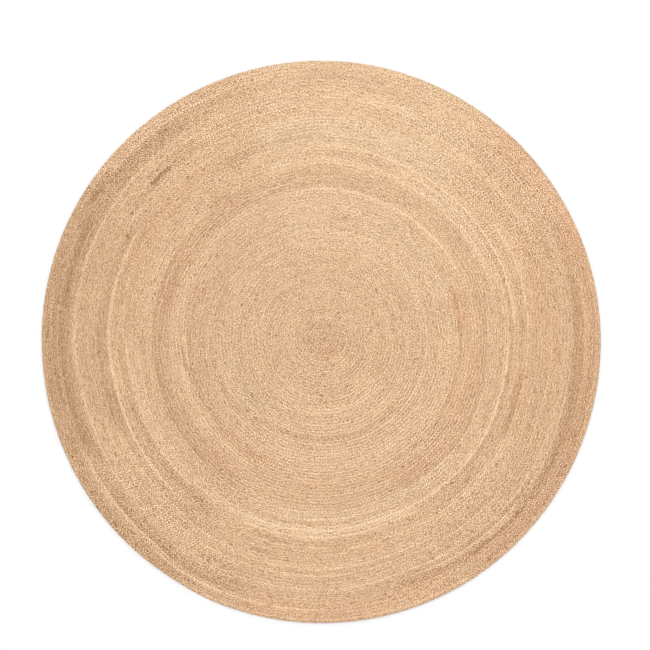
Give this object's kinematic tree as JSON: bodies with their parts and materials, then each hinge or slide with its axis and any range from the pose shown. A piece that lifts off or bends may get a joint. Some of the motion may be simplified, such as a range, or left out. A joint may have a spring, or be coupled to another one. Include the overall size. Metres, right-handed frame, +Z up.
{
  "type": "round braided jute rug",
  "caption": "Flat round rug coiled from one long three-strand jute braid, sewn turn to turn, with a rounded braided edge.",
  "frame": {"origin": "middle of the underside, on the ground", "axes": "+Z up, through the rug's thickness; +Y towards the top of the rug as it is seen from above"},
  "size_m": [1.9942, 2.0062, 0.009],
  "materials": {
    "jute": "undyed jute yarn, matt with a faint fibre sheen"
  },
  "bodies": {
    "root": {"coiled_braid": "jute"}
  },
  "joints": []
}
